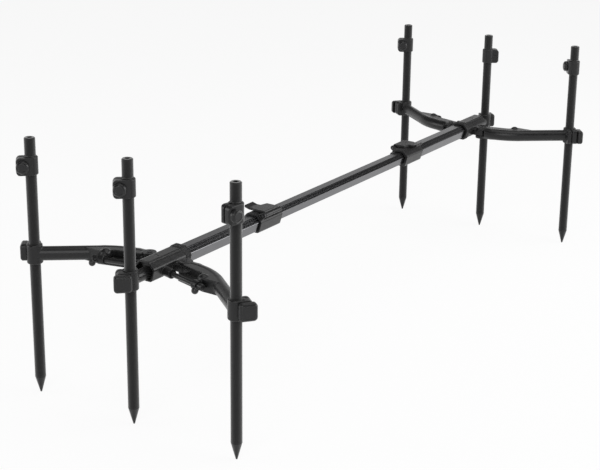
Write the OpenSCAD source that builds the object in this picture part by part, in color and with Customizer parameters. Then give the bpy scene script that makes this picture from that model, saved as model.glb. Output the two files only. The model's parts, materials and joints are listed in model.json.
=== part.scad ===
// Three-rod fishing pod on six spiked sticks.
// A telescopic bar joins two hubs. Each hub holds one stick and two folding arms, each arm one stick.
// X runs along the bar, from the near end (-X) to the far end (+X). Y runs across, left is +Y.
// The origin is on the ground, under the middle of the bar.

/* [Layout] */
// Distance between neighbouring sticks of one end
stick_pitch = 180; // [165:1:210]
// Distance from the near row of sticks to the far row
span = 1070; // [1040:5:1160]
// Height of the bar's axis above the ground
bar_z = 221; // [205:1:235]
// How far the arms' axis lies below the bar's axis
arm_drop = 4; // [2:0.5:6]

/* [Bar] */
// Half width of the flat top of the outer bars
bar_top = 7.5; // [6:0.25:9]
// Half width of the outer bars at their shoulders
bar_side = 15; // [13.5:0.25:16]
// Half width of the flat underside of the outer bars
bar_foot = 10.5; // [9:0.25:12]
// Half height of the outer bars
bar_half_h = 11.5; // [11:0.25:13]
// Height of the shoulders above the bar's axis
bar_shoulder = 3.5; // [2:0.25:5]
// Rounding of the bar's long edges
bar_round = 1.4; // [0.6:0.1:1.6]
// Wall of all three bars
bar_wall = 1.7; // [1.4:0.1:2]
// Width of the two grooves along each shoulder
groove_w = 2.2; // [1:0.1:2.4]
// Depth of these grooves
groove_d = 1; // [0.4:0.1:1]
// Distances of these grooves from the edge of the flat top
groove_at = [2.4, 6.9];
// Length of the middle bar
mid_len = 660; // [600:5:680]
// Depth of the end plugs in the middle bar
plug_len = 14; // [8:1:20]

/* [Bar clamps] */
// Distance from the middle of the bar to a clamp's nose
nose_x = 195; // [180:1:210]
// Length of a clamp body
clamp_len = 57; // [54:1:66]
// Length of the nose that grips the middle bar
nose_len = 24; // [18:1:28]
// Wall of the clamp bodies and the hubs around the bar
sleeve_wall = 3.2; // [2.5:0.1:3.6]
// Height of the slit that lets the nose close
slit_h = 1.6; // [1:0.1:2.4]
// Width of a lever along the bar
lever_w = 36; // [30:1:40]
// Width of the lever's finger tongue
tongue_w = 21; // [16:1:24]
// Thickness of the lever
lever_t = 4; // [3:0.25:5]
// Radius of the lever's knuckle
knuckle_r = 4.2; // [3.6:0.1:4.6]
// Diameter of the lever's hinge pin
lever_pin_d = 4; // [3:0.25:5]
// Width of each hinge ear on a clamp body
ear_w = 4.2; // [3:0.1:5]
// Distance from the edge of the body's flat top to the knuckle
hinge_room = 2.6; // [2:0.1:3]
// Gap between a closed lever and its clamp body
lever_gap = 0.9; // [0.6:0.1:1.2]
// How far a lever sits from the middle of its clamp body, towards the hub
lever_shift = 1.5; // [0:0.25:1.5]
// How far the tongue sits from the middle of its lever
tongue_shift = 5; // [2:0.5:6]
// How far the tongue reaches past the body's flat top
tip_reach = 11.5; // [8:0.5:14]
// Length of the tongue's upturned tip
tip_run = 9; // [6:0.5:10]
// How far this tip turns up
tip_rise = 2.5; // [1:0.25:4]

/* [Hubs] */
// Distance from the stick row back to a hub's end face
neck_len = 29; // [26:1:34]
// Diameter of the round neck between a hub and its centre stick
neck_d = 18; // [14:0.5:20]
// Length of a hub
hub_len = 82; // [78:1:90]
// How far the outer bar reaches into a hub
bar_seat = 54; // [40:1:58]
// Width of the ribbed collar on the hub's inner end
rib_band = 12; // [9:0.5:14]
// Number of ribs on this collar
rib_count = 4; // [3:1:5]
// How far the ribs stand out of the hub
rib_h = 1.2; // [0.6:0.1:1.6]
// Depth of the open mouth round the neck
mouth_d = 8; // [4:0.5:10]
// Wall round this mouth
mouth_wall = 2.6; // [2:0.1:3]
// Radius of the line across the hub's top
top_arc_r = 44; // [36:1:52]
// How far the centre of this line lies beyond the hub's end face
top_arc_out = 15; // [10:1:20]
// Width and depth of this line
top_arc_w = 0.8; // [0.5:0.1:1.2]

/* [Arms] */
// Distance from the stick row back to the arms' hinges
pivot_back = 80; // [74:1:84]
// Distance from the bar's axis to the arms' hinges
pivot_y = 33; // [32:0.5:36]
// Diameter of an arm's tube
arm_d = 21; // [19:0.5:22]
// Straight length of an arm before its bend
arm_straight = 12; // [8:1:16]
// Radius of an arm's bend
bend_r = 95; // [80:1:105]
// Diameter of the hinge pins
arm_pin_d = 6; // [5:0.25:7]
// Bevel on the ends of these pins
pin_bevel = 0.6; // [0.3:0.1:1]
// Thickness of the hub's hinge tongue
hinge_t = 9.6; // [8:0.2:10.4]
// Radius of this tongue round the pin
hinge_r = 9.4; // [8:0.2:9.6]
// Height of the flat web beside the tube
web_h = 20; // [17:0.5:20.5]
// Distance from the hinge's axis to the web's inner edge
web_gap = 5; // [4:0.5:7]
// Length over which the web runs out on the straight tube
web_fade = 30; // [20:1:40]
// Depth of the pocket in the web
pocket_d = 12; // [6:0.5:13]
// Width of this pocket
pocket_w = 12.5; // [9:0.5:14]
// Radius of its round corner
pocket_r = 8; // [5:0.5:8.5]
// Radius of the dome beside the outer eye
dome_r = 8.5; // [7:0.25:9]
// How far this dome stands above the web
dome_rise = 3; // [1:0.25:4]
// Distance from the web's edge to the dome's middle
dome_in = 7; // [6:0.25:9]

/* [Arm lock screws] */
// Distance from the stick row back to the tips of the lock screws
lock_back = 50; // [48:0.5:53]
// Angle between a lock screw and the stick row
lock_tilt = 14; // [10:1:16]
// Diameter of a lock screw's rod
lock_d = 7.5; // [6:0.25:8]
// Diameter of its tip, which seats in the hub
lock_tip_d = 6; // [4.5:0.25:6]
// How far the tip reaches into the hub
lock_tip = 3; // [2:0.25:3.5]
// Length of the rod from the hub's boss to the outer end of its eye
lock_len = 59; // [54:1:62]
// Room round the tip in the hub
tip_room = 0.7; // [0.6:0.05:0.8]
// Gap between a screw's rod and the web
rod_gap = 1.8; // [1:0.1:2.5]
// Radius of the boss and the eye round the screw
lock_eye_r = 7; // [6.5:0.1:8]
// Length of the eye
eye_len = 10; // [7:0.5:12]
// Diameter of the screw's end beyond the eye
grip_d = 10; // [9:0.25:10.5]
// Length of this end
grip_len = 9; // [7:0.5:10]
// Diameter of the short crank on this end
crank_d = 5.5; // [4:0.25:6.5]
// Diameter of the crank's ball
ball_d = 10; // [8:0.5:11]
// Distance from the screw's axis to the ball's middle
ball_out = 10.5; // [9:0.25:12]
// How far the locked crank dips, in degrees
ball_dip = 15; // [0:1:30]

/* [Sticks] */
// Outer diameter of the poles
pole_d = 16; // [15:0.5:18]
// Wall of the poles and inner sticks
pole_wall = 1.5; // [1.2:0.1:1.8]
// Length of a pole
pole_len = 321; // [300:1:340]
// Length of a spike below the pole
spike_len = 27; // [20:1:36]
// Diameter of the spike's blunt point
spike_tip_d = 2.4; // [1.6:0.1:4]
// Height of the straight rim above the spike's cone
spike_rim = 2; // [1:0.25:4]
// Length of the spike's shank in the pole
shank_len = 25; // [15:1:35]
// Length of an inner stick below its head
rod_len = 280; // [240:5:290]
// Height of the head on an inner stick
head_len = 27; // [22:0.5:34]
// Core diameter of the threaded socket in the head
socket_d = 7.9; // [6:0.1:9]
// Depth of this socket
socket_depth = 16; // [12:0.5:18]
// Diameter of the grub screw's hole in the side of the head
grub_d = 3; // [2:0.25:3.5]
// Depth of this hole
grub_depth = 1; // [0.5:0.1:2]

/* [Stick clamps] */
// Height of the collars at the tops of the poles
collar_h = 27; // [26:0.5:32]
// Length of pole held in a collar
collar_grip = 12; // [10:0.5:16]
// Wall of the collars round the pole
collar_wall = 2.6; // [2:0.1:3.5]
// Height of the clamps on the arms and hubs
clamp_h = 29; // [27:0.5:34]
// How far these clamps sit above the arms' axis
clamp_rise = 0.5; // [-2:0.5:3]
// Wall of these clamps round the pole
clamp_wall = 3.7; // [3.2:0.1:4.6]
// Width of the gap that closes when a clamp is tightened
gap_w = 2; // [1:0.1:3]
// Depth of a lug on the side away from its knob
lug_back = 7.5; // [6:0.25:9]
// Lug beyond the axis of its knob
lug_end = 9; // [8:0.25:11]
// Rounding of a lug's upright edges
lug_round = 3.5; // [2:0.25:4.5]
// Rounding of a lug's upper and lower corners
lug_ease = 6; // [3:0.5:7]
// Height of the lugs on the collars
collar_lug_h = 26; // [22:0.5:26]
// Height of the lugs on the arm and hub clamps
clamp_lug_h = 27; // [24:0.5:27]
// Diameter of the knobs' studs
stud_d = 5; // [4:0.25:6]
// Room between a stud and the pole
stud_room = 1; // [0.8:0.1:2]
// Width of the collars' knobs across their flats
collar_knob_w = 18; // [16:0.5:20]
// Width of the knobs on the arm and hub clamps
clamp_knob_w = 25; // [20:0.5:26]
// Thickness of the collars' knobs
collar_knob_t = 6.5; // [5:0.5:9]
// Rounding of the corners of the collars' knobs
hex_round = 3.5; // [2:0.25:5]
// Rounding of the corners of the knobs on the arm and hub clamps
square_round = 5; // [3:0.25:6]
// Thickness of the knobs on the arm and hub clamps
clamp_knob_t = 9; // [7:0.5:11]
// Bevel round a knob's face
knob_bevel = 2.2; // [1:0.1:2.6]
// Directions in which the collars' knobs point, near left, centre, right, then far
collar_turn = [-136, -139, -100, -146, 34, 124];

/* [Fits] */
// Gap round tubes and bars that slide
slide_gap = 0.3; // [0.2:0.05:0.4]
// Gap round pieces that stay put
seat_gap = 0.06; // [0.03:0.01:0.1]
// Gap round pins and screws that turn
pin_gap = 0.08; // [0.04:0.01:0.1]
// Gap between the flat faces of pieces that move
face_gap = 0.3; // [0.2:0.05:0.4]
// Bevel on moulded edges
edge = 1.2; // [0.6:0.1:1.4]

/* [Hidden] */
$fn = 64;
arc_steps = 5;
over = 1;
half_span = span / 2;
arm_z = bar_z - arm_drop;
arm_r = arm_d / 2;
ENDS = ["near", "far"];
SIDES = ["left", "centre", "right"];
END_SIGN = [-1, 1];
SIDE_SIGN = [1, 0, -1];

// hub and bar stations along X, seen from the middle of the pod
hub_out = half_span - neck_len;
hub_in = hub_out - hub_len;
clamp_out = nose_x + clamp_len;
bar_in = nose_x + nose_len;
bar_out = hub_in + bar_seat;
pivot_x = half_span - pivot_back;
lock_x = half_span - lock_back;

// sections of the bars
outer_pts = [
    [bar_top, bar_half_h], [-bar_top, bar_half_h], [-bar_side, bar_shoulder],
    [-bar_foot, -bar_half_h], [bar_foot, -bar_half_h], [bar_side, bar_shoulder]
];
mid_inset = bar_wall + slide_gap;
shoulder_run = [bar_side - bar_top, bar_shoulder - bar_half_h];
shoulder_tilt = atan2(shoulder_run[1], shoulder_run[0]);

// lever hinge and lever heights over the bar's axis
sleeve_top = bar_half_h + sleeve_wall;
lever_low = sleeve_top + lever_gap;
lever_high = lever_low + lever_t;
hinge_z = lever_low - knuckle_r + lever_t / 2;
hinge_y = bar_top + sleeve_wall + knuckle_r + hinge_room;
lever_mid = nose_x + clamp_len / 2 + lever_shift;
tip_y = -(bar_top + sleeve_wall + tip_reach);
step_run = 3;
ear_low = -20;
ear_high = 100;

// bend of an arm, as the tangent from the stick to the bend's circle
bend_y = pivot_y + arm_straight;
to_stick = [pivot_back - bend_r, stick_pitch - bend_y];
run_len = sqrt(to_stick * to_stick - bend_r * bend_r);
bend_angle = atan2(run_len, -bend_r) - atan2(to_stick[1], to_stick[0]);
bend_end = [pivot_x + bend_r * (1 - cos(bend_angle)), bend_y + bend_r * sin(bend_angle)];
fork_r = norm([hinge_r, arm_r]) + face_gap;

run_dir = [sin(bend_angle), cos(bend_angle)];

// axis of a lock screw in plan, from the hub's boss outwards, and the web beside it
boss_at = [lock_x, pivot_y];
lock_dir = [sin(lock_tilt), cos(lock_tilt)];
web_in = pivot_y + web_gap;
web_off = lock_d / 2 + rod_gap;

// heights on a stick
pole_top = spike_len + pole_len;
collar_z = pole_top - collar_grip;
collar_top = collar_z + collar_h;
shank_top = spike_len + shank_len;
// an inner stick rests with its head on the collar, or with its rod on the spike's shank
head_z = max(collar_top, shank_top + rod_len) + face_gap;
rod_d = pole_d - 2 * pole_wall - 2 * slide_gap;
clamp_z = arm_z + clamp_rise - clamp_h / 2;
collar_r = pole_d / 2 + collar_wall;
clamp_r = pole_d / 2 + clamp_wall;
knob_x = pole_d / 2 + stud_room + stud_d / 2;
lug_x = knob_x + lug_end;
centre_turn = -135;

body_black = [0.10, 0.10, 0.11];
tube_black = [0.16, 0.16, 0.17];
bar_grey = [0.22, 0.22, 0.23];
steel_grey = [0.32, 0.32, 0.34];

STICKS = [for (e = ENDS) for (s = SIDES) str(e, "_", s)];
CORNERS = [for (e = ENDS) for (s = ["left", "right"]) str(e, "_", s)];
STICK_PARTS = ["pole", "spike", "collar", "inner_stick", "collar_knob", "clamp_knob"];
CORNER_PARTS = ["arm", "lock_screw"];
END_PARTS = ["hub", "bar", "clamp_body", "lever", "lever_pin", "arm_pins"];

// Outlines

function unit(v) = v / norm(v);
function turned(v) = [v[1], -v[0]];

// Outward normal of the edge that starts at point i of a polygon drawn anticlockwise
function edge_normal(pts, i) = unit(turned(pts[(i + 1) % len(pts)] - pts[i % len(pts)]));

// The same polygon with every edge moved inwards by d
function inset(pts, d) = [
    for (i = [0 : len(pts) - 1])
        let (a = edge_normal(pts, i + len(pts) - 1), b = edge_normal(pts, i))
            pts[i] - d * (a + b) / (1 + a * b)
];

// Arc of radius r that rounds corner p between its neighbours a and b
function corner(p, a, b, r) =
    let (
        u = unit(a - p),
        v = unit(b - p),
        half = acos(u * v) / 2,
        centre = p + unit(u + v) * r / sin(half),
        first = p + u * r / tan(half) - centre,
        last = p + v * r / tan(half) - centre,
        start = atan2(first[1], first[0]),
        sweep = (atan2(last[1], last[0]) - start + 540) % 360 - 180
    )
    [for (k = [0 : arc_steps])
        let (t = start + sweep * k / arc_steps) centre + r * [cos(t), sin(t)]];

// The polygon with every corner rounded to radius r
function eased(pts, r) = [
    for (i = [0 : len(pts) - 1])
        each corner(pts[i], pts[(i + len(pts) - 1) % len(pts)], pts[(i + 1) % len(pts)], r)
];

function box_pts(x0, y0, x1, y1) = [[x0, y0], [x1, y0], [x1, y1], [x0, y1]];

// Bar section moved inwards by d, or outwards for a negative d
function bar_pts(d) = eased(inset(outer_pts, d), max(bar_round - d, 0.3));

// Shared shapes

// Extrudes a section drawn in Y and Z along X, on the bar's axis
module along_x(x0, x1) {
    translate([x0, 0, bar_z]) rotate([90, 0, 90]) linear_extrude(x1 - x0) children();
}

// Puts a piece drawn for the far left corner at an end and a side
module at_corner(end, side) {
    mirror([end < 0 ? 1 : 0, 0, 0]) mirror([0, side < 0 ? 1 : 0, 0]) children();
}

// Puts a piece drawn for the far end at either end, turned half round
module turn_to(end) {
    rotate([0, 0, end < 0 ? 180 : 0]) children();
}

// Cylinder along +Y from y0 to y1
module rod_y(x, y0, y1, z, r) {
    translate([x, y0, z]) rotate([-90, 0, 0]) cylinder(r = r, h = y1 - y0);
}

// Puts a piece drawn along +Y, from the hub's boss outwards, on the lock screw of the far left corner
module on_lock() {
    translate([boss_at[0], boss_at[1], arm_z]) rotate([0, 0, -lock_tilt]) children();
}

// Round barrel with bevelled rims
module barrel(r, h) {
    rotate_extrude()
        polygon([[0, 0], [r - edge, 0], [r, edge], [r, h - edge], [r - edge, h], [0, h]]);
}

// Block of a split clamp, beside the barrel on +X, rounded towards its end, with its knob's face on +Y
module lug(r, low, high) {
    intersection() {
        translate([0, 0, low]) linear_extrude(high - low)
            polygon(eased(box_pts(-lug_round, -lug_back, lug_x, r), lug_round));
        translate([0, r, 0]) rotate([90, 0, 0]) linear_extrude(r + lug_back)
            polygon(eased(box_pts(-lug_ease, low, lug_x, high), lug_ease));
    }
}

module split_clamp(r, h, lug_h) {
    barrel(r, h);
    lug(r, (h - lug_h) / 2, (h + lug_h) / 2);
}

// Gap and stud hole of a split clamp
module split_cuts(r, h) {
    translate([0, -gap_w / 2, -over]) cube([lug_x + over, gap_w, h + 2 * over]);
    rod_y(knob_x, -lug_back - over, r + over, h / 2, stud_d / 2 + pin_gap);
}

// Stud of a knob and its place on a clamp of barrel radius r and height h, with the head as children
module knob_on_clamp(r, h) {
    front = r + face_gap;
    translate([knob_x, front, h / 2]) rotate([-90, 0, 0]) {
        children();
        translate([0, 0, -front - lug_back]) cylinder(d = stud_d, h = front + lug_back + over);
    }
}

// Six-sided head with a corner up, rounded corners and a turned bevel
module hex_head() {
    corner_r = collar_knob_w / sqrt(3);
    rim = corner_r - hex_round / 4;
    intersection() {
        linear_extrude(collar_knob_t)
            polygon(eased([for (k = [0 : 5]) corner_r * [cos(60 * k + 30), sin(60 * k + 30)]], hex_round));
        rotate_extrude() polygon([
            [0, 0], [rim, 0], [rim, collar_knob_t - knob_bevel],
            [rim - knob_bevel, collar_knob_t], [0, collar_knob_t]
        ]);
    }
}

// Square head with rounded corners and bevelled edges
module square_head() {
    half = clamp_knob_w / 2;
    side = [
        [-half, 0], [half, 0], [half, clamp_knob_t - knob_bevel], [half - knob_bevel, clamp_knob_t],
        [knob_bevel - half, clamp_knob_t], [-half, clamp_knob_t - knob_bevel]
    ];
    intersection() {
        linear_extrude(clamp_knob_t) polygon(eased(box_pts(-half, -half, half, half), square_round));
        for_sides(clamp_knob_w) polygon(side);
        rotate([0, 0, 90]) for_sides(clamp_knob_w) polygon(side);
    }
}

// Extrudes a side outline drawn in X and Z across the width w
module for_sides(w) {
    translate([0, w / 2, 0]) rotate([90, 0, 0]) linear_extrude(w) children();
}

// Places on the clamps at the arm ends and on the hubs, drawn for the far left corner
module on_arm_clamp() {
    translate([half_span, stick_pitch, clamp_z]) rotate([0, 0, -bend_angle]) mirror([1, 0, 0])
        children();
}

module on_hub_clamp() {
    translate([half_span, 0, clamp_z]) rotate([0, 0, centre_turn]) mirror([1, 0, 0]) children();
}

module pole_bore() {
    translate([0, 0, -over]) cylinder(r = pole_d / 2 + slide_gap, h = clamp_h + 2 * over);
}

// Bars

// Grooves along the shoulders of the section moved inwards by d, at the given distances down them
module grooves(x0, x1, d, places) {
    top_corner = inset(outer_pts, d)[0];
    for (side = [0, 1]) {
        mirror([0, side, 0]) {
            for (g = places) {
                along_x(x0, x1)
                    translate(top_corner) rotate(shoulder_tilt)
                        translate([g, 0]) square([groove_w, 2 * groove_d], center = true);
            }
        }
    }
}

module hollow_bar(x0, x1, d) {
    difference() {
        along_x(x0, x1) polygon(bar_pts(d));
        along_x(x0 - over, x1 + over) polygon(bar_pts(d + bar_wall));
        grooves(x0 - over, x1 + over, d, groove_at);
    }
}

module bar(end) {
    color(bar_grey) turn_to(end) hollow_bar(bar_in + seat_gap, bar_out - seat_gap, 0);
}

module middle_bar() {
    color(bar_grey) hollow_bar(-mid_len / 2, mid_len / 2, mid_inset);
}

module middle_bar_plugs() {
    color(body_black) for (end = END_SIGN) turn_to(end)
        along_x(mid_len / 2 - plug_len, mid_len / 2) polygon(bar_pts(mid_inset + bar_wall + seat_gap));
}

// Bar clamps

module lever_hinge(x0, x1, r) {
    translate([x0, hinge_y, bar_z + hinge_z]) rotate([0, 90, 0]) cylinder(r = r, h = x1 - x0);
}

module clamp_ear(x0) {
    lever_hinge(x0, x0 + ear_w, knuckle_r);
    along_x(x0, x0 + ear_w) polygon([
        [hinge_y + knuckle_r * cos(ear_low), hinge_z + knuckle_r * sin(ear_low)],
        [hinge_y + knuckle_r * cos(ear_high), hinge_z + knuckle_r * sin(ear_high)],
        [bar_top, bar_half_h + sleeve_wall / 2],
        [bar_side, bar_shoulder + sleeve_wall / 2]
    ]);
}

module clamp_body(end) {
    ear_gap = lever_w / 2 + face_gap;
    color(body_black) turn_to(end) difference() {
        union() {
            along_x(nose_x, clamp_out) polygon(bar_pts(-sleeve_wall));
            clamp_ear(lever_mid + ear_gap);
            clamp_ear(lever_mid - ear_gap - ear_w);
        }
        along_x(bar_in, clamp_out + over) polygon(bar_pts(-seat_gap));
        along_x(nose_x - over, bar_in + over) polygon(bar_pts(mid_inset - slide_gap));
        translate([nose_x - over, bar_top, bar_z + bar_shoulder + sleeve_wall])
            cube([nose_len + 2 * over, bar_side + 2 * sleeve_wall, slit_h]);
        lever_hinge(nose_x, clamp_out, lever_pin_d / 2 + seat_gap);
    }
}

module lever(end) {
    left = lever_mid - lever_w / 2;
    right = lever_mid + lever_w / 2;
    tongue_left = lever_mid + tongue_shift - tongue_w / 2;
    tongue_right = lever_mid + tongue_shift + tongue_w / 2;
    step_y = -bar_top / 2;
    back_y = hinge_y + knuckle_r;
    flat_y = tip_y + tip_run;
    color(body_black) turn_to(end) difference() {
        union() {
            lever_hinge(left, right, knuckle_r);
            intersection() {
                along_x(left, right) polygon(eased([
                    [hinge_y + knuckle_r / 2, lever_low - knuckle_r / 3],
                    [hinge_y, lever_high], [flat_y, lever_high],
                    [tip_y, lever_high + tip_rise], [tip_y, lever_low + tip_rise],
                    [flat_y, lever_low], [hinge_y - knuckle_r, lever_low]
                ], edge / 2));
                linear_extrude(2 * bar_z) polygon(eased([
                    [left, back_y], [left, step_y],
                    [tongue_left, step_y - step_run], [tongue_left, tip_y - over],
                    [tongue_right, tip_y - over], [tongue_right, step_y - step_run],
                    [right, step_y], [right, back_y]
                ], edge));
            }
        }
        lever_hinge(left - over, right + over, lever_pin_d / 2 + pin_gap);
    }
}

module lever_pin(end) {
    ear_end = lever_w / 2 + face_gap + ear_w;
    color(steel_grey) turn_to(end)
        lever_hinge(lever_mid - ear_end - face_gap, lever_mid + ear_end + face_gap, lever_pin_d / 2);
}

// Hubs

module hinge_tongue() {
    translate([pivot_x, pivot_y, arm_z - hinge_t / 2]) cylinder(r = hinge_r, h = hinge_t);
    translate([pivot_x - hinge_r, 0, arm_z - hinge_t / 2]) cube([2 * hinge_r, pivot_y, hinge_t]);
}

module rib_rings() {
    pitch = rib_band / rib_count;
    rib_w = pitch * 0.6;
    for (k = [0 : rib_count - 1]) {
        along_x(hub_in + k * pitch, hub_in + k * pitch + rib_w) polygon(bar_pts(-sleeve_wall - rib_h));
    }
}

module hub(end) {
    color(body_black) at_corner(end, 1) difference() {
        union() {
            along_x(hub_in, hub_out) polygon(bar_pts(-sleeve_wall));
            rib_rings();
            translate([hub_out - over, 0, arm_z]) rotate([0, 90, 0])
                cylinder(d = neck_d, h = neck_len + over);
            on_hub_clamp() split_clamp(clamp_r, clamp_h, clamp_lug_h);
            for (side = [0, 1]) {
                mirror([0, side, 0]) {
                    hinge_tongue();
                    on_lock() rod_y(0, -boss_at[1] / lock_dir[1], 0, 0, lock_eye_r);
                }
            }
        }
        along_x(hub_in - over, bar_out) polygon(bar_pts(-seat_gap));
        difference() {
            along_x(hub_out - mouth_d, hub_out + over) polygon(bar_pts(mouth_wall - sleeve_wall));
            translate([0, 0, arm_z]) rotate([0, 90, 0]) cylinder(d = neck_d, h = half_span);
        }
        grooves(hub_in + rib_band, hub_out, -sleeve_wall, [groove_at[0]]);
        on_hub_clamp() pole_bore();
        on_hub_clamp() split_cuts(clamp_r, clamp_h);
        translate([hub_out + top_arc_out, 0, bar_z + sleeve_top - top_arc_w]) difference() {
            cylinder(r = top_arc_r, h = 2 * top_arc_w);
            translate([0, 0, -over]) cylinder(r = top_arc_r - top_arc_w, h = 2 * over + 2 * top_arc_w);
        }
        for (side = [0, 1]) {
            mirror([0, side, 0]) {
                translate([pivot_x, pivot_y, arm_z - hinge_t])
                    cylinder(r = arm_pin_d / 2 + seat_gap, h = 2 * hinge_t);
                on_lock() rod_y(0, -lock_tip - tip_room, over, 0, lock_tip_d / 2 + tip_room);
            }
        }
    }
}

module arm_pins(end) {
    pin_r = arm_pin_d / 2;
    color(steel_grey) for (side = [-1, 1]) at_corner(end, side)
        translate([pivot_x, pivot_y, arm_z - arm_r]) rotate_extrude() polygon([
            [0, 0], [pin_r - pin_bevel, 0], [pin_r, pin_bevel],
            [pin_r, arm_d - pin_bevel], [pin_r - pin_bevel, arm_d], [0, arm_d]
        ]);
}

// Arms

// The tube's straight parts are a hair thinner than its bend and end inside it
module arm_tube() {
    straight_r = arm_r - seat_gap;
    translate([pivot_x, pivot_y, arm_z - arm_r]) cylinder(r = arm_r, h = arm_d);
    rod_y(pivot_x, pivot_y, bend_y + over, arm_z, straight_r);
    translate([pivot_x + bend_r, bend_y, arm_z]) rotate([0, 0, 180 - bend_angle])
        rotate_extrude(angle = bend_angle) translate([bend_r, 0]) circle(r = arm_r);
    translate([bend_end[0], bend_end[1], arm_z]) rotate([0, 0, -bend_angle])
        rod_y(0, -over, run_len, 0, straight_r);
}

// Flat-topped web between the tube and the lock screw, its edge along the screw
module arm_web() {
    edge_start = boss_at + web_gap * lock_dir + web_off * turned(-lock_dir);
    edge_end = boss_at + lock_len * lock_dir + web_off * turned(-lock_dir);
    translate([0, 0, arm_z - web_h / 2]) linear_extrude(web_h) polygon(eased([
        [pivot_x - arm_r / 2, web_in], edge_start, edge_end, bend_end + web_fade * run_dir,
        [bend_end[0] - arm_r / 2, bend_end[1]], [pivot_x - arm_r / 2, bend_y + arm_r]
    ], edge));
}

// Pocket along the web's edge, open towards the hinge and the lock screw
module web_pocket() {
    back = -web_off - pocket_w;
    end = lock_len - eye_len;
    on_lock() translate([0, 0, web_h / 2 - pocket_d]) linear_extrude(pocket_d + over) polygon(concat(
        [[lock_eye_r, end], [lock_eye_r, -over], [back, -over]],
        corner([back, end], [back, -over], [lock_eye_r, end], pocket_r)
    ));
}

module web_dome() {
    on_lock() translate([-web_off - dome_in, lock_len - eye_len / 2, web_h / 2 + dome_rise - dome_r])
        sphere(r = dome_r);
}

module arm(end, side) {
    color(body_black) at_corner(end, side) difference() {
        union() {
            difference() {
                union() {
                    arm_tube();
                    arm_web();
                }
                web_pocket();
            }
            web_dome();
            on_lock() rod_y(0, lock_len - eye_len, lock_len, 0, lock_eye_r);
            on_arm_clamp() split_clamp(clamp_r, clamp_h, clamp_lug_h);
        }
        translate([pivot_x, pivot_y, arm_z - hinge_t / 2 - face_gap])
            cylinder(r = fork_r, h = hinge_t + 2 * face_gap);
        translate([pivot_x, pivot_y, arm_z - arm_d]) cylinder(r = arm_pin_d / 2 + pin_gap, h = 2 * arm_d);
        on_lock() rod_y(0, lock_len - eye_len - over, lock_len + over, 0, lock_d / 2 + pin_gap);
        on_arm_clamp() pole_bore();
        on_arm_clamp() split_cuts(clamp_r, clamp_h);
    }
}

module lock_screw(end, side) {
    grip_start = lock_len + face_gap;
    color(steel_grey) at_corner(end, side) on_lock() {
        rod_y(0, -lock_tip, face_gap + over, 0, lock_tip_d / 2);
        rod_y(0, face_gap, grip_start + over, 0, lock_d / 2);
        translate([0, grip_start, 0]) rotate([-90, 0, 0]) barrel(grip_d / 2, grip_len);
        translate([0, grip_start + grip_len / 2, 0]) rotate([0, 90 + ball_dip, 0]) {
            cylinder(d = crank_d, h = ball_out);
            translate([0, 0, ball_out]) sphere(d = ball_d);
        }
    }
}

// Sticks

module at_stick(end, side) {
    translate([end * half_span, side * stick_pitch, 0]) children();
}

module pole(end, side) {
    color(tube_black) at_stick(end, side) translate([0, 0, spike_len + seat_gap]) difference() {
        cylinder(d = pole_d, h = pole_len - 2 * seat_gap);
        translate([0, 0, -over]) cylinder(d = pole_d - 2 * pole_wall, h = pole_len + 2 * over);
    }
}

module spike(end, side) {
    shank_r = pole_d / 2 - pole_wall - seat_gap;
    color(steel_grey) at_stick(end, side) rotate_extrude() polygon([
        [0, 0], [spike_tip_d / 2, 0], [pole_d / 2, spike_len - spike_rim], [pole_d / 2, spike_len],
        [shank_r, spike_len], [shank_r, shank_top], [0, shank_top]
    ]);
}

module at_collar(i, end, side) {
    at_stick(end, side) translate([0, 0, collar_z]) rotate([0, 0, collar_turn[i] - 90]) children();
}

module collar(i, end, side) {
    color(body_black) at_collar(i, end, side) difference() {
        split_clamp(collar_r, collar_h, collar_lug_h);
        translate([0, 0, -over]) cylinder(r = pole_d / 2 + seat_gap, h = collar_grip + over);
        translate([0, 0, -over]) cylinder(r = rod_d / 2 + slide_gap, h = collar_h + 2 * over);
        split_cuts(collar_r, collar_h);
    }
}

module inner_stick(end, side) {
    head_top = head_z + head_len;
    rod_bore_top = head_z - pole_wall;
    color(tube_black) at_stick(end, side) difference() {
        union() {
            translate([0, 0, head_z - rod_len]) cylinder(d = rod_d, h = rod_len + over);
            translate([0, 0, head_z]) barrel(pole_d / 2, head_len);
        }
        translate([0, 0, head_z - rod_len - over])
            cylinder(d = rod_d - 2 * pole_wall, h = rod_bore_top - head_z + rod_len + over);
        translate([0, 0, head_top - socket_depth]) cylinder(d = socket_d, h = socket_depth + over);
        translate([0, 0, head_z + head_len / 2]) rotate([0, 90, collar_turn[0] + 90])
            translate([0, 0, pole_d / 2 - grub_depth]) cylinder(d = grub_d, h = grub_depth + over);
    }
}

module collar_knob(i, end, side) {
    color(body_black) at_collar(i, end, side) knob_on_clamp(collar_r, collar_h) hex_head();
}

module clamp_knob(end, side) {
    color(body_black) at_corner(end, side) {
        if (side == 0) {
            on_hub_clamp() knob_on_clamp(clamp_r, clamp_h) square_head();
        } else {
            on_arm_clamp() knob_on_clamp(clamp_r, clamp_h) square_head();
        }
    }
}

middle_bar();
middle_bar_plugs();
for (e = [0, 1]) {
    end = END_SIGN[e];
    hub(end);
    bar(end);
    clamp_body(end);
    lever(end);
    lever_pin(end);
    arm_pins(end);
    for (s = [0, 2]) {
        corner_name = str(ENDS[e], "_", SIDES[s]);
        side = SIDE_SIGN[s];
        arm(end, side);
        lock_screw(end, side);
    }
    for (s = [0 : 2]) {
        name = STICKS[3 * e + s];
        side = SIDE_SIGN[s];
        i = 3 * e + s;
        pole(end, side);
        spike(end, side);
        collar(i, end, side);
        inner_stick(end, side);
        collar_knob(i, end, side);
        clamp_knob(end, side);
    }
}
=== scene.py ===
import json
import math

import bmesh
import bpy
from mathutils import Matrix, Vector


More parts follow.
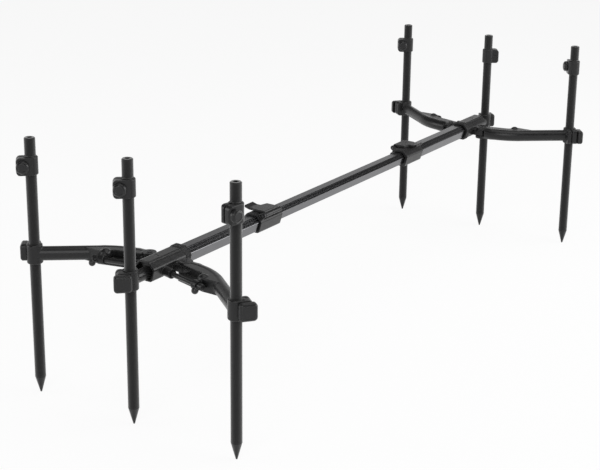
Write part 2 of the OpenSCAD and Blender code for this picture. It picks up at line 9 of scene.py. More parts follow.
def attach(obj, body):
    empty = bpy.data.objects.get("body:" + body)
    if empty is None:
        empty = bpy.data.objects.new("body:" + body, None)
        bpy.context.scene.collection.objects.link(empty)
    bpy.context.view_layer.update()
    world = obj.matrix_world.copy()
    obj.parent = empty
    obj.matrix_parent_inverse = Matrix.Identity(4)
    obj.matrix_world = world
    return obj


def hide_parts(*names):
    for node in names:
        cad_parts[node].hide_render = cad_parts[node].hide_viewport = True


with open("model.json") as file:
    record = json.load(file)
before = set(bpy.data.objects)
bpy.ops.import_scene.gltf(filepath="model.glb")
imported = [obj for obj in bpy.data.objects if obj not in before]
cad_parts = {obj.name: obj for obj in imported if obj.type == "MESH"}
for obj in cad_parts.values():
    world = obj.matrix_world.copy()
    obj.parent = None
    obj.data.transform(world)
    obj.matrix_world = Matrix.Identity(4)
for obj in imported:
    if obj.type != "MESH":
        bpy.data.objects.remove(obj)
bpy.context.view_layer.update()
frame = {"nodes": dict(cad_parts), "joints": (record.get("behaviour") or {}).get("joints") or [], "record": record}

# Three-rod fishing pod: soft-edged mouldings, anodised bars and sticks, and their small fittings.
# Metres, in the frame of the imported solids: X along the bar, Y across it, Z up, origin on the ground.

scene = bpy.context.scene

# Camera, fitted to the photograph's frame
PHOTO_WIDTH = 600
SENSOR = 36.0
FOCAL_PX = 1381.35
AZIMUTH, ELEVATION, ROLL = -56.18, 16.78, 0.64
AIM = Vector((0, 0, 0.180))
AIM_RIGHT, AIM_UP = -0.06669, 0.05376
DISTANCE = 2.32696
FRAME_SHIFT = -0.10
SEEN_AS_FAR_AS = 100

# Studio: even light, the floor and how much of its white is its own, and the walls' white from low to high
AMBIENT = 0.25
FLOOR_R = 40
FLOOR_WHITE = (0.86, 0.86, 0.86, 1)
FLOOR_GLOW = 0.9
WALLS = (0.10, 0.48, 1.0, 0.05)
WHITE = (1, 1, 1, 1)

# Soft boxes: place, width, height and watts
SOFTBOXES = {
    "top_softbox": ((0.3, -0.4, 2.6), 2.4, 2.4, 24),
    "front_softbox": ((-2.2, -1.0, 1.8), 2.0, 1.6, 26),
    "left_softbox": ((-1.8, 2.1, 1.0), 1.8, 1.6, 22),
    "right_softbox": ((1.1, -2.1, 1.0), 2.4, 1.8, 44),
}

# Finishes: shared colours, sheen, sizes of the colour's clouds, and bumps as strength and depth
DUST = (0.16, 0.155, 0.145)
# Colour of the painted shade laid into grooves and inner corners
SHADE = (0.002, 0.002, 0.002)
SHEEN_SPREAD = 0.5
MOULDED_CLOUDS = 0.02
METAL_CLOUDS = 0.04
GRAIN_BUMP = (0.12, 0.0002)
LINE_BUMP = (0.12, 0.0001)

# Wear and painted shade: rubbed edges by width and amount, painted shade in the hollows by reach and amount, and
# the amount of dust
MOULDED_WEAR_AND_SHADE = ((0.0009, 0.6), (0.008, 0.9), 0.04)
METAL_WEAR_AND_SHADE = ((0.0004, 0.6), (0.0025, 1.0), 0.02)

# Lines that drawing or turning leaves, per metre of each axis
ALONG_X = (5, 1500, 1500)
ALONG_Z = (1500, 1500, 5)
ROUND = (900, 900, 900)

# Names of the pod's ends, sides and sticks
ENDS = ("near", "far")
SIDES = ("left", "centre", "right")
STICKS = [f"{end}_{side}" for end in ENDS for side in SIDES]

# Meshing: doubles, places taken as equal, and the steepest edge that still shades smooth
MERGE = 1e-6
TINY = 1e-6
SMOOTH = math.radians(40)

# Mouldings melted round: fineness, rounds of smoothing, and the share of the faces that is kept
MELTS = {
    "hub": (0.00045, 5, 0.28),
    "clamp_body": (0.0004, 6, 0.3),
    "lever": (0.0004, 6, 0.4),
    "arm": (0.0005, 12, 0.25),
    "lock_screw": (0.00035, 6, 0.4),
    "collar": (0.0004, 6, 0.35),
}

# Thumb knobs: sides, first corner's turn, width across the flats, corner rounding, thickness, stud length
COLLAR_KNOB = (6, 0, 0.018, 0.0033, 0.0065, 0.0184)
CLAMP_KNOB = (4, math.pi / 4, 0.025, 0.0050, 0.0090, 0.0195)
KNOB_BEVEL = 0.0027
KNOB_CROWN = 0.34
STUD_R = 0.0025
STUD_IN = 0.0010
STUD_TIP = 0.0006
COLLAR_FRONT = 0.0109
CLAMP_FRONT = 0.0120

# Sunk faces: flat rim, width of the sloping wall, and depth
KNOB_PANEL = (0.0010, 0.0005, 0.0005)
RIVET_DISH = (0.0009, 0.0005, 0.0005)
GRUB_SOCKET = (0.0006, 0.00005, 0.0006)

# Hinge rivets on the arms
ARM_R = 0.0105
RIVET_R = 0.0044
RIVET_HIGH = 0.0011
RIVET_BEVEL = 0.0006

# Threads in the sockets and set screws in the heads
THREAD_R = 0.0037
THREAD_PITCH = 0.00127
THREAD_TURNS = 11
THREAD_STEPS = 28
RIDGE = 0.48
GRUB_R = 0.00135
GRUB_HIGH = 0.0008
GRUB_ROUNDING = 0.0002
GRUB_TURN = math.radians(-46)
GRUB_SEAT = 0.0070
GRUB_DROP = Vector((0, 0, -0.0055))

# From the far left corner, or from the far end, to the others
IN_PLACE = Matrix.Identity(4)
MIRROR_X = Matrix.Diagonal((-1, 1, 1, 1))
MIRROR_Y = Matrix.Diagonal((1, -1, 1, 1))
HALF_TURN = Matrix.Rotation(math.pi, 4, "Z")
CORNER_MOVES = {
    "far_left": IN_PLACE,
    "far_right": MIRROR_Y,
    "near_left": MIRROR_X,
    "near_right": HALF_TURN,
}
NEAR_MOVES = {"hub": MIRROR_X, "clamp_body": HALF_TURN, "lever": HALF_TURN}

BODY_OF = {
    node: body
    for body, nodes in frame["record"]["behaviour"]["bodies"].items()
    for node in nodes
}


# Camera, floor and light

def add_camera():
    a, e, r = (math.radians(v) for v in (AZIMUTH, ELEVATION, ROLL))
    back = Vector((math.sin(a) * math.cos(e), -math.cos(a) * math.cos(e), math.sin(e)))
    level = Vector((math.cos(a), math.sin(a), 0))
    plumb = back.cross(level)
    right = level * math.cos(r) + plumb * math.sin(r)
    up = plumb * math.cos(r) - level * math.sin(r)
    data = bpy.data.cameras.new("photo_camera")
    data.sensor_width = SENSOR
    data.lens = FOCAL_PX * SENSOR / PHOTO_WIDTH
    data.shift_y = FRAME_SHIFT
    data.clip_end = SEEN_AS_FAR_AS
    camera = bpy.data.objects.new("photo_camera", data)
    scene.collection.objects.link(camera)
    place = AIM + right * AIM_RIGHT + up * AIM_UP + back * DISTANCE
    turn = Matrix((right, up, back)).transposed()
    camera.matrix_world = Matrix.Translation(place) @ turn.to_4x4()
    scene.camera = camera


def node_at(tree, kind, x, y, **settings):
    """A new node at a place on the node sheet, with its properties and its sockets' values."""
    node = tree.nodes.new(kind)
    node.location = (x, y)
    for key, value in settings.items():
        if key in node.inputs:
            node.inputs[key].default_value = value
        else:
            setattr(node, key, value)
    return node


def maths_at(tree, x, y, operation, first, second):
    """The result of a sum on two values. Each is a number or another node's output."""
    node = node_at(tree, "ShaderNodeMath", x, y, operation=operation)
    for socket, value in zip(node.inputs, (first, second)):
        if isinstance(value, (int, float)):
            socket.default_value = value
        else:
            tree.links.new(value, socket)
    return node.outputs[0]


def span_at(tree, x, y, value, spans):
    """A value taken from one span to another: from low, from high, to low, to high."""
    node = node_at(tree, "ShaderNodeMapRange", x, y)
    for socket, limit in zip(("From Min", "From Max", "To Min", "To Max"), spans):
        node.inputs[socket].default_value = limit
    tree.links.new(value, node.inputs["Value"])
    return node.outputs[0]


def seen_directly(tree, x, y):
    """1 for the camera, mirror and glass rays, which see the white background, and 0 for the light."""
    path = node_at(tree, "ShaderNodeLightPath", x, y).outputs
    first = maths_at(tree, x + 200, y, "MAXIMUM", path["Is Camera Ray"], path["Is Glossy Ray"])
    return maths_at(tree, x + 400, y, "MAXIMUM", first, path["Is Transmission Ray"])


def mixed_to(tree, output, share, first, second):
    """Sends two shaders, mixed by a share, to the sheet's output node."""
    mix = node_at(tree, "ShaderNodeMixShader", 420, 100)
    out = node_at(tree, output, 640, 100)
    for socket, source in zip(mix.inputs, (share, first.outputs[0], second.outputs[0])):
        tree.links.new(source, socket)
    tree.links.new(mix.outputs[0], out.inputs["Surface"])


def add_floor():
    """A wide pale floor, nearly white to the eye, which keeps the pod's shadow."""
    bpy.ops.object.select_all(action="DESELECT")
    bpy.ops.mesh.primitive_circle_add(vertices=96, radius=FLOOR_R, fill_type="NGON", location=(0, 0, 0))
    floor = bpy.context.object
    floor.name = "studio_floor"
    paint = bpy.data.materials.new("studio_white")
    paint.use_nodes = True
    tree = paint.node_tree
    tree.nodes.clear()
    matt = node_at(tree, "ShaderNodeBsdfDiffuse", 200, 200, Color=FLOOR_WHITE)
    glow = node_at(tree, "ShaderNodeEmission", 200, 0, Color=WHITE, Strength=1.0)
    share = maths_at(tree, 200, -200, "MULTIPLY", seen_directly(tree, -500, -200), FLOOR_GLOW)
    mixed_to(tree, "ShaderNodeOutputMaterial", share, matt, glow)
    floor.data.materials.append(paint)


def add_world():
    """A plain studio: even light, white walls low down and a dark ceiling, which the gloss shows."""
    world = bpy.data.worlds.new("studio")
    scene.world = world
    world.use_nodes = True
    tree = world.node_tree
    tree.nodes.clear()
    light = node_at(tree, "ShaderNodeBackground", 200, 200, Color=WHITE, Strength=AMBIENT)
    walls = node_at(tree, "ShaderNodeBackground", 200, 0, Strength=1.0)
    way = node_at(tree, "ShaderNodeTexCoord", -700, 0)
    split = node_at(tree, "ShaderNodeSeparateXYZ", -500, 0)
    tree.links.new(way.outputs["Generated"], split.inputs[0])
    tree.links.new(span_at(tree, -300, 0, split.outputs["Z"], WALLS), walls.inputs["Color"])
    mixed_to(tree, "ShaderNodeOutputWorld", seen_directly(tree, -500, -300), light, walls)


def add_softbox(name, place, width, height, power):
    data = bpy.data.lights.new(name, "AREA")
    data.shape = "RECTANGLE"
    data.size, data.size_y = width, height
    data.energy = power
    lamp = bpy.data.objects.new(name, data)
    scene.collection.objects.link(lamp)
    lamp.location = place
    lamp.rotation_euler = (AIM - Vector(place)).to_track_quat("-Z", "Y").to_euler()


# Effects that the finishes share

def new_effect(name, inputs, outputs):
    """An empty shader node group with its sockets: the group, its inputs, its outputs and the place."""
    group = bpy.data.node_groups.new(name, "ShaderNodeTree")
    for socket, kind, value in inputs:
        made = group.interface.new_socket(name=socket, in_out="INPUT", socket_type=kind)
        made.default_value = value
    for socket in outputs:
        group.interface.new_socket(name=socket, in_out="OUTPUT", socket_type="NodeSocketFloat")
    start = node_at(group, "NodeGroupInput", -900, 0)
    end = node_at(group, "NodeGroupOutput", 900, 0)
    place = node_at(group, "ShaderNodeTexCoord", -900, 300)
    return group, start.outputs, end.inputs, place.outputs["Object"]


def noise_at(tree, x, y, place, **values):
    node = node_at(tree, "ShaderNodeTexNoise", x, y, **values)
    tree.links.new(place, node.inputs["Vector"])
    return node


def sized_noise(tree, y, place, size, detail, roughness):
    """A noise whose spots have about the size that another node's output gives."""
    noise = noise_at(tree, -300, y, place, Detail=detail, Roughness=roughness)
    tree.links.new(maths_at(tree, -600, y, "DIVIDE", 1.0, size), noise.inputs["Scale"])
    return noise.outputs["Fac"]


def moulded_grain():
    """Fine spark-eroded grain of a moulding, with the slow clouds of its colour."""
    group, given, made, place = new_effect(
        "Moulded grain",
        [("Grain size", "NodeSocketFloat", 0.0006), ("Cloud size", "NodeSocketFloat", 0.03)],
        ["Grain", "Clouds"],
    )
    group.links.new(sized_noise(group, 0, place, given["Grain size"], 2.0, 0.6), made["Grain"])
    group.links.new(sized_noise(group, -200, place, given["Cloud size"], 4.0, 0.6), made["Clouds"])
    return group


def drawn_lines():
    """Fine lines that drawing or turning leaves on metal, stretched by a vector along and across them."""
    group, given, made, place = new_effect(
        "Drawn lines",
        [("Lines per metre", "NodeSocketVector", (4, 1200, 1200)), ("Cloud size", "NodeSocketFloat", 0.05)],
        ["Lines", "Clouds"],
    )
    stretch = node_at(group, "ShaderNodeVectorMath", -600, 200, operation="MULTIPLY")
    group.links.new(place, stretch.inputs[0])
    group.links.new(given["Lines per metre"], stretch.inputs[1])
    lines = noise_at(group, -300, 200, stretch.outputs[0], Scale=1.0, Detail=3.0, Roughness=0.65)
    group.links.new(lines.outputs["Fac"], made["Lines"])
    group.links.new(sized_noise(group, -200, place, given["Cloud size"], 3.0, 0.55), made["Clouds"])
    return group


def handled_edges():
    """Mask of the edges that hands and transport rub, broken up by a noise."""
    group, given, made, place = new_effect(
        "Handled edges",
        [("Width", "NodeSocketFloat", 0.0006), ("Amount", "NodeSocketFloat", 0.6)],
        ["Wear"],
    )
    rounded = node_at(group, "ShaderNodeBevel", -600, 200, samples=4)
    surface = node_at(group, "ShaderNodeNewGeometry", -600, 0)
    turn = node_at(group, "ShaderNodeVectorMath", -400, 100, operation="DOT_PRODUCT")
    group.links.new(given["Width"], rounded.inputs["Radius"])
    group.links.new(rounded.outputs[0], turn.inputs[0])
    group.links.new(surface.outputs["Normal"], turn.inputs[1])
    edge = span_at(group, -200, 100, turn.outputs["Value"], (0.99, 0.80, 0.0, 1.0))
    noise = noise_at(group, -400, -300, place, Scale=160.0, Detail=4.0, Roughness=0.7)
    patches = span_at(group, -200, -300, noise.outputs["Fac"], (0.42, 0.68, 0.0, 1.0))
    worn = maths_at(group, 100, 0, "MULTIPLY", edge, patches)
    group.links.new(maths_at(group, 300, 0, "MULTIPLY", worn, given["Amount"]), made["Wear"])
    return group


def settled_dust():
    """Mask of the thin dust that lies on faces that look up."""
    group, given, made, place = new_effect(
        "Settled dust", [("Amount", "NodeSocketFloat", 0.1)], ["Dust"]
    )
    surface = node_at(group, "ShaderNodeNewGeometry", -700, 200)
    split = node_at(group, "ShaderNodeSeparateXYZ", -500, 200)
    group.links.new(surface.outputs["Normal"], split.inputs[0])
    upward = span_at(group, -300, 200, split.outputs["Z"], (0.45, 1.0, 0.0, 1.0))
    noise = noise_at(group, -500, -200, place, Scale=70.0, Detail=6.0, Roughness=0.7)
    lying = maths_at(group, 0, 0, "MULTIPLY", upward, noise.outputs["Fac"])
    group.links.new(maths_at(group, 250, 0, "MULTIPLY", lying, given["Amount"]), made["Dust"])
    return group


def shaded_hollows():
    """Mask of the painted shade in grooves and inner corners, from how little open space each point sees nearby.
    """
    group, given, made, _ = new_effect(
        "Shaded hollows",
        [("Reach", "NodeSocketFloat", 0.003), ("Amount", "NodeSocketFloat", 0.8)],
        ["Hollow"],
    )
    sky = node_at(group, "ShaderNodeAmbientOcclusion", -500, 0, samples=8)
    group.links.new(given["Reach"], sky.inputs["Distance"])
    depth = span_at(group, -250, 0, sky.outputs["AO"], (0.85, 0.35, 0.0, 1.0))
    group.links.new(maths_at(group, 0, 0, "MULTIPLY", depth, given["Amount"]), made["Hollow"])
    return group


# Finishes

def effect_in(tree, effect, y, **values):
    """An effect placed in a material with its own values: its outputs."""
    node = node_at(tree, "ShaderNodeGroup", -1100, y)
    node.node_tree = EFFECTS[effect]
    for socket, value in values.items():
        node.inputs[socket.replace("_", " ").capitalize()].default_value = value
    return node.outputs


def mixed_colour(tree, x, mask, first, second):
    """Colour that goes from first to second by a mask. Each is a colour or another node's output."""
    mix = node_at(tree, "ShaderNodeMix", x, 300, data_type="RGBA")
    tree.links.new(mask, mix.inputs["Factor"])
    for socket, colour in ((mix.inputs[6], first), (mix.inputs[7], second)):
        if isinstance(colour, tuple):
            socket.default_value = (*colour, 1)
        else:
            tree.links.new(colour, socket)
    return mix.outputs[2]


def aged_and_shaded_colour(tree, body, worn, wear_and_shade):
    """A colour with painted shade in its hollows, its rubbed edges and a trace of dust."""
    (width, rubbing), (reach, shading), dusting = wear_and_shade
    edges = effect_in(tree, "edges", -100, width=width, amount=rubbing)
    hollows = effect_in(tree, "hollows", -300, reach=reach, amount=shading)
    dust = effect_in(tree, "dust", -500, amount=dusting)
    # Painted shade: the colour darkens toward SHADE where the hollows mask is strong
    hollow_shaded = mixed_colour(tree, -600, hollows["Hollow"], body, SHADE)
    rubbed = mixed_colour(tree, -400, edges["Wear"], hollow_shaded, worn)
    return mixed_colour(tree, -200, dust["Dust"], rubbed, DUST)


def new_paint(name, metallic, shine, sheen):
    """A new material and its shader's sockets, with what is even all over set on them."""
    paint = bpy.data.materials.new(name)
    paint.use_nodes = True
    skin = paint.node_tree.nodes["Principled BSDF"].inputs
    skin["Metallic"].default_value = metallic
    skin["Specular IOR Level"].default_value = shine
    skin["Sheen Weight"].default_value = sheen
    skin["Sheen Roughness"].default_value = SHEEN_SPREAD
    return paint, skin


def rough_and_bumped(tree, skin, gloss, rough, height, bump):
    """Gives a shader its roughness, from one pattern, and its bump, from one pattern."""
    tree.links.new(span_at(tree, -400, 0, gloss, (0.3, 0.7, *rough)), skin["Roughness"])
    strength, depth = bump
    relief = node_at(tree, "ShaderNodeBump", -400, -300, Strength=strength, Distance=depth)
    tree.links.new(height, relief.inputs["Height"])
    tree.links.new(relief.outputs[0], skin["Normal"])


def moulding_finish(name, dark, light, worn, rough, grain_size, shine, sheen):
    """Black moulded nylon: cloudy colour, fine grain, rubbed edges, painted shade in the hollows and a trace of
    dust.
    """
    paint, skin = new_paint(name, 0.0, shine, sheen)
    tree = paint.node_tree
    grain = effect_in(tree, "grain", 200, grain_size=grain_size, cloud_size=MOULDED_CLOUDS)
    body = mixed_colour(tree, -800, grain["Clouds"], dark, light)
    tree.links.new(aged_and_shaded_colour(tree, body, worn, MOULDED_WEAR_AND_SHADE), skin["Base Color"])
    rough_and_bumped(tree, skin, grain["Clouds"], rough, grain["Grain"], GRAIN_BUMP)
    return paint


def metal_finish(name, dark, light, worn, rough, lines, metallic, shine, sheen):
    """Dark anodised or coated metal: drawn lines, slow clouds, painted shade in the hollows and bright rubbed
    edges.
    """
    paint, skin = new_paint(name, metallic, shine, sheen)
    tree = paint.node_tree
    drawn = effect_in(tree, "lines", 200, lines_per_metre=lines, cloud_size=METAL_CLOUDS)
    body = mixed_colour(tree, -800, drawn["Clouds"], dark, light)
    tree.links.new(aged_and_shaded_colour(tree, body, worn, METAL_WEAR_AND_SHADE), skin["Base Color"])
    rough_and_bumped(tree, skin, drawn["Lines"], rough, drawn["Lines"], LINE_BUMP)
    return paint


# Modelling by hand

def take_up(obj):
    """Makes obj the only selected object, and the active one."""
    bpy.ops.object.select_all(action="DESELECT")
    obj.select_set(True)
    bpy.context.view_layer.objects.active = obj


def started(name):
    """The primitive just added, under its own name and with its place in its mesh."""
    piece = bpy.context.object
    piece.name = piece.data.name = name
    bpy.ops.object.transform_apply(location=True, rotation=True, scale=True)
    return piece


def started_drum(name, sides, radius, low, high, turn=0):
    """A new upright drum on the Z axis, from a low to a high place, opened for shaping."""
    bpy.ops.object.select_all(action="DESELECT")
    bpy.ops.mesh.primitive_cylinder_add(vertices=sides, radius=radius, depth=high - low,
                                        location=(0, 0, (low + high) / 2), rotation=(0, 0, turn))
    piece = started(name)
    bpy.ops.object.mode_set(mode="EDIT")
    return piece


def choose(piece, kind, test):
    """In edit mode, selects only the corners, edges or faces that pass a test."""
    bpy.ops.mesh.select_mode(type=kind)
    bpy.ops.mesh.select_all(action="DESELECT")
    skin = bmesh.from_edit_mesh(piece.data)
    for item in {"VERT": skin.verts, "EDGE": skin.edges, "FACE": skin.faces}[kind]:
        if test(item):
            item.select_set(True)
    skin.select_flush_mode()
    bmesh.update_edit_mesh(piece.data)


def upright(edge):
    """Test for the edges that stand up."""
    low, high = (corner.co for corner in edge.verts)
    return abs(low.z - high.z) > 10 * abs((low - high).xy.length)


def level_with(height):
    """Test for the edges that lie at a height."""
    return lambda edge: all(abs(corner.co.z - height) < TINY for corner in edge.verts)


def facing_up_at(height):
    """Test for the faces that look up at a height."""
    return lambda face: face.normal.z > 0.99 and abs(face.calc_center_median().z - height) < TINY


def bevel_edges(piece, test, offset, segments, profile=0.5):
    """In edit mode, bevels the edges that pass a test."""
    choose(piece, "EDGE", test)
    bpy.ops.mesh.bevel(offset=offset, segments=segments, profile=profile, affect="EDGES")


def sink_face(piece, height, rim, wall, depth):
    """In edit mode, sinks the face that looks up at a height, inside a flat rim."""
    choose(piece, "FACE", facing_up_at(height))
    bpy.ops.mesh.inset(thickness=rim, depth=0)
    bpy.ops.mesh.inset(thickness=wall, depth=-depth)


def apply_modifier(piece, kind, **settings):
    take_up(piece)
    modifier = piece.modifiers.new("shape", kind)
    for key, value in settings.items():
        setattr(modifier, key, value)
    bpy.ops.object.modifier_apply(modifier=modifier.name)


def copy_to(piece, name, move):
    """A copy of a piece with its own mesh, moved by a matrix."""
    made = bpy.data.objects.new(name, piece.data.copy())
    made.data.name = name
    scene.collection.objects.link(made)
    made.data.transform(move)
    if move.is_negative:
        made.data.flip_normals()
    return made


def put_away(*pieces):
    """Removes the patterns from which copies were made."""
    for piece in pieces:
        bpy.data.objects.remove(piece)


def finished(piece, finish, body, slot, *nodes):
    """Evens a piece's shading, gives it its finish and puts it on its body, in place of its solids."""
    take_up(piece)
    bpy.ops.object.shade_smooth_by_angle(angle=SMOOTH)
    apply_modifier(piece, "WEIGHTED_NORMAL", mode="FACE_AREA", weight=50, keep_sharp=True)
    piece.data.materials.clear()
    piece.data.materials.append(FINISHES[finish])
    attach(piece, body)
    if nodes:
        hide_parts(*nodes)


def dress_node(node, finish):
    """Gives a solid that keeps its shape a better finish."""
    for slot in frame["nodes"][node].material_slots:
        slot.material = FINISHES[finish]


# Patterns of the pieces

def melted(node, voxel, rounds, keep):
    """A copy of a moulding, merged into one skin, with its edges and inner corners melted round."""
    piece = copy_to(frame["nodes"][node], f"{node}_pattern", IN_PLACE)
    piece.data.materials.clear()
    take_up(piece)
    bpy.ops.object.mode_set(mode="EDIT")
    bpy.ops.mesh.select_all(action="SELECT")
    bpy.ops.mesh.remove_doubles(threshold=MERGE)
    bpy.ops.object.mode_set(mode="OBJECT")
    bpy.ops.mesh.customdata_custom_splitnormals_clear()
    apply_modifier(piece, "REMESH", mode="VOXEL", voxel_size=voxel)
    apply_modifier(piece, "SMOOTH", factor=0.5, iterations=rounds)
    apply_modifier(piece, "DECIMATE", ratio=keep)
    return piece


def thumb_knob(name, sides, turn, across, rounding, thick, stud):
    """A thumb knob on its stud, its back on the origin and its face up, with rounded edges and a sunk panel."""
    radius = across / 2 / math.cos(math.pi / sides)
    head = started_drum(name, sides, radius, 0, thick, turn)
    bevel_edges(head, upright, rounding, 5)
    bevel_edges(head, level_with(thick), KNOB_BEVEL, 4, KNOB_CROWN)
    bevel_edges(head, level_with(0), KNOB_BEVEL / 4, 2)
    sink_face(head, thick, *KNOB_PANEL)
    bpy.ops.object.mode_set(mode="OBJECT")

    shank = started_drum(f"{name}_stud", 32, STUD_R, -stud, STUD_IN)
    bevel_edges(shank, level_with(-stud), STUD_TIP, 2)
    bpy.ops.object.mode_set(mode="OBJECT")
    take_up(head)
    shank.select_set(True)
    bpy.ops.object.join()
    return head


def hinge_rivet(name):
    """The flat round head of a hinge pin, dished, its back on the origin."""
    head = started_drum(name, 40, RIVET_R, 0, RIVET_HIGH)
    bevel_edges(head, level_with(RIVET_HIGH), RIVET_BEVEL, 3)
    sink_face(head, RIVET_HIGH, *RIVET_DISH)
    bpy.ops.object.mode_set(mode="OBJECT")
    return head


def socket_thread(name):
    """The thread in a stick's socket: a three-sided ridge wound up the wall from the origin."""
    bpy.ops.object.select_all(action="DESELECT")
    bpy.ops.mesh.primitive_circle_add(vertices=3, radius=THREAD_PITCH * RIDGE, fill_type="NOTHING",
                                      location=(THREAD_R, 0, 0), rotation=(math.pi / 2, -math.pi / 2, 0))
    thread = started(name)
    apply_modifier(thread, "SCREW", axis="Z", angle=math.tau, screw_offset=THREAD_PITCH,
                   iterations=THREAD_TURNS, steps=THREAD_STEPS, render_steps=THREAD_STEPS)
    bpy.ops.object.mode_set(mode="EDIT")
    bpy.ops.mesh.select_all(action="SELECT")
    bpy.ops.mesh.fill_holes(sides=4)
    bpy.ops.mesh.select_all(action="SELECT")
    bpy.ops.mesh.normals_make_consistent(inside=False)
    bpy.ops.object.mode_set(mode="OBJECT")
    return thread


def grub_screw(name):
    """The end of a set screw, its six-sided socket up and its back on the origin."""
    screw = started_drum(name, 6, GRUB_R, 0, GRUB_HIGH)
    sink_face(screw, GRUB_HIGH, *GRUB_SOCKET)
    bevel_edges(screw, upright, GRUB_ROUNDING, 3)
    bpy.ops.object.mode_set(mode="OBJECT")
    return screw


def joint_of(name):
    return next(joint for joint in frame["joints"] if joint["name"] == name)


def place_on(joint, out):
    """The place a distance out on a joint's axis, for a piece that looks along +Z with its top to +Y."""
    axis = Vector(joint["axis"]).normalized()
    top = Vector((0, 0, 1))
    turn = Matrix((top.cross(axis), top, axis)).transposed().to_4x4()
    return Matrix.Translation(Vector(joint["pos_m"]) + axis * out) @ turn


# Making

scene.view_settings.view_transform = "Standard"
add_camera()
add_floor()
add_world()
for name, box in SOFTBOXES.items():
    add_softbox(name, *box)

EFFECTS = {
    "grain": moulded_grain(),
    "lines": drawn_lines(),
    "edges": handled_edges(),
    "dust": settled_dust(),
    "hollows": shaded_hollows(),
}
FINISHES = {
    "nylon": moulding_finish(
        "black_nylon", dark=(0.005, 0.005, 0.0053), light=(0.010, 0.010, 0.0106), worn=(0.10, 0.10, 0.106),
        rough=(0.25, 0.35), grain_size=0.0005, shine=0.34, sheen=0.07),
    "knob": moulding_finish(
        "knob_nylon", dark=(0.006, 0.006, 0.0064), light=(0.011, 0.011, 0.0117), worn=(0.10, 0.10, 0.106),
        rough=(0.25, 0.36), grain_size=0.0004, shine=0.36, sheen=0.07),
    "bar": metal_finish(
        "bar_anodised", dark=(0.15, 0.15, 0.156), light=(0.185, 0.185, 0.193), worn=(0.30, 0.30, 0.31),
        rough=(0.14, 0.22), lines=ALONG_X, metallic=1.0, shine=0.5, sheen=0.0),
    "pole": metal_finish(
        "pole_anodised", dark=(0.004, 0.004, 0.0042), light=(0.007, 0.007, 0.0073), worn=(0.06, 0.06, 0.062),
        rough=(0.30, 0.40), lines=ALONG_Z, metallic=0.0, shine=0.12, sheen=0.55),
    "spike": metal_finish(
        "spike_black", dark=(0.005, 0.005, 0.0053), light=(0.009, 0.009, 0.0095), worn=(0.08, 0.08, 0.082),
        rough=(0.30, 0.42), lines=ROUND, metallic=0.0, shine=0.16, sheen=0.45),
    "screw": metal_finish(
        "screw_black", dark=(0.006, 0.006, 0.0063), light=(0.011, 0.011, 0.0116), worn=(0.09, 0.09, 0.092),
        rough=(0.22, 0.34), lines=ROUND, metallic=0.0, shine=0.45, sheen=0.05),
    "pin": metal_finish(
        "pin_steel", dark=(0.06, 0.06, 0.062), light=(0.10, 0.10, 0.103), worn=(0.30, 0.30, 0.30),
        rough=(0.26, 0.38), lines=ROUND, metallic=0.9, shine=0.5, sheen=0.0),
}

# Solids that keep their shape
for end in ENDS:
    dress_node(f"{end}_bar", "bar")
    dress_node(f"{end}_lever_pin", "pin")
    dress_node(f"{end}_arm_pins", "pin")
dress_node("middle_bar", "bar")
dress_node("middle_bar_plugs", "nylon")
for stick in STICKS:
    dress_node(f"{stick}_pole", "pole")
    dress_node(f"{stick}_inner_stick", "pole")
    dress_node(f"{stick}_spike", "spike")

# Mouldings of the hubs, bar clamps and levers
for kind, to_near in NEAR_MOVES.items():
    pattern = melted(f"far_{kind}", *MELTS[kind])
    for end, move in (("far", IN_PLACE), ("near", to_near)):
        node = f"{end}_{kind}"
        finished(copy_to(pattern, f"{node}_moulding", move), "nylon", BODY_OF[node], "moulded", node)
    put_away(pattern)

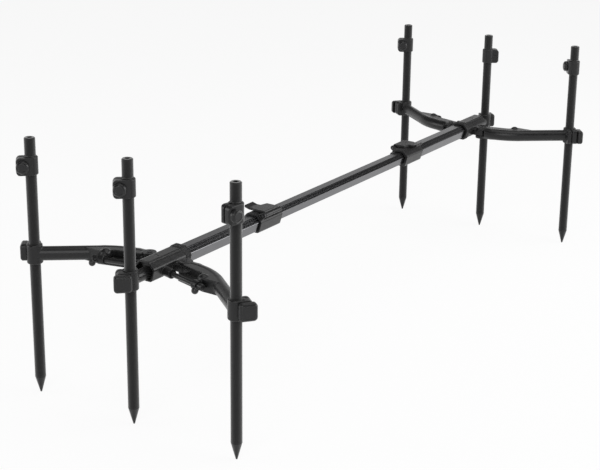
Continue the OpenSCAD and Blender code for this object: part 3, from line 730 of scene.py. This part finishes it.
# Arms, their lock screws and the heads of their hinge pins
arm = melted("far_left_arm", *MELTS["arm"])
lock = melted("far_left_lock_screw", *MELTS["lock_screw"])
rivet = hinge_rivet("rivet_pattern")
for corner, move in CORNER_MOVES.items():
    finished(copy_to(arm, f"{corner}_arm_moulding", move), "nylon",
             f"{corner}_arm", "moulded", f"{corner}_arm")
    finished(copy_to(lock, f"{corner}_lock_rod", move), "screw",
             f"{corner}_lock_screw", "screw_black", f"{corner}_lock_screw")
    hinge = Vector(joint_of(f"{corner}_arm_fold")["pos_m"])
    pins = f"{corner.split('_')[0]}_arm_pins"
    for side, turn in (("upper", 0), ("lower", math.pi)):
        seat = (Matrix.Translation(hinge) @ Matrix.Rotation(turn, 4, "X")
                @ Matrix.Translation((0, 0, ARM_R)))
        finished(copy_to(rivet, f"{corner}_{side}_rivet", seat), "pin", BODY_OF[pins], "pin_steel")
put_away(arm, lock, rivet)

# Collars, knobs, socket threads and set screws of the sticks
collar = melted("far_left_collar", *MELTS["collar"])
collar_home = place_on(joint_of("far_left_collar_knob_turn"), 0)
collar_knob = thumb_knob("collar_knob_pattern", *COLLAR_KNOB)
clamp_knob = thumb_knob("clamp_knob_pattern", *CLAMP_KNOB)
thread = socket_thread("thread_pattern")
grub = grub_screw("grub_pattern")
for stick in STICKS:
    knob_joint = joint_of(f"{stick}_collar_knob_turn")
    move = place_on(knob_joint, 0) @ collar_home.inverted()
    finished(copy_to(collar, f"{stick}_collar_moulding", move), "nylon",
             f"{stick}_pole", "moulded", f"{stick}_collar")
    seat = place_on(knob_joint, COLLAR_FRONT)
    finished(copy_to(collar_knob, f"{stick}_collar_thumb_knob", seat), "knob",
             f"{stick}_collar_knob", "knob_moulded", f"{stick}_collar_knob")
    seat = place_on(joint_of(f"{stick}_clamp_knob_turn"), CLAMP_FRONT)
    finished(copy_to(clamp_knob, f"{stick}_clamp_thumb_knob", seat), "knob",
             f"{stick}_clamp_knob", "knob_moulded", f"{stick}_clamp_knob")
    socket = next(m for m in frame["record"]["mounts"] if m["name"] == f"{stick}_socket")
    middle = Vector(socket["pos_m"])
    bottom = middle - Vector((0, 0, THREAD_PITCH * THREAD_TURNS / 2))
    finished(copy_to(thread, f"{stick}_socket_thread", Matrix.Translation(bottom)), "pole",
             f"{stick}_inner_stick", "pole_anodised")
    seat = (Matrix.Translation(middle + GRUB_DROP) @ Matrix.Rotation(GRUB_TURN, 4, "Z")
            @ Matrix.Translation((GRUB_SEAT, 0, 0)) @ Matrix.Rotation(math.pi / 2, 4, "Y"))
    finished(copy_to(grub, f"{stick}_grub_screw", seat), "screw", f"{stick}_inner_stick", "screw_black")
put_away(collar, collar_knob, clamp_knob, thread, grub)
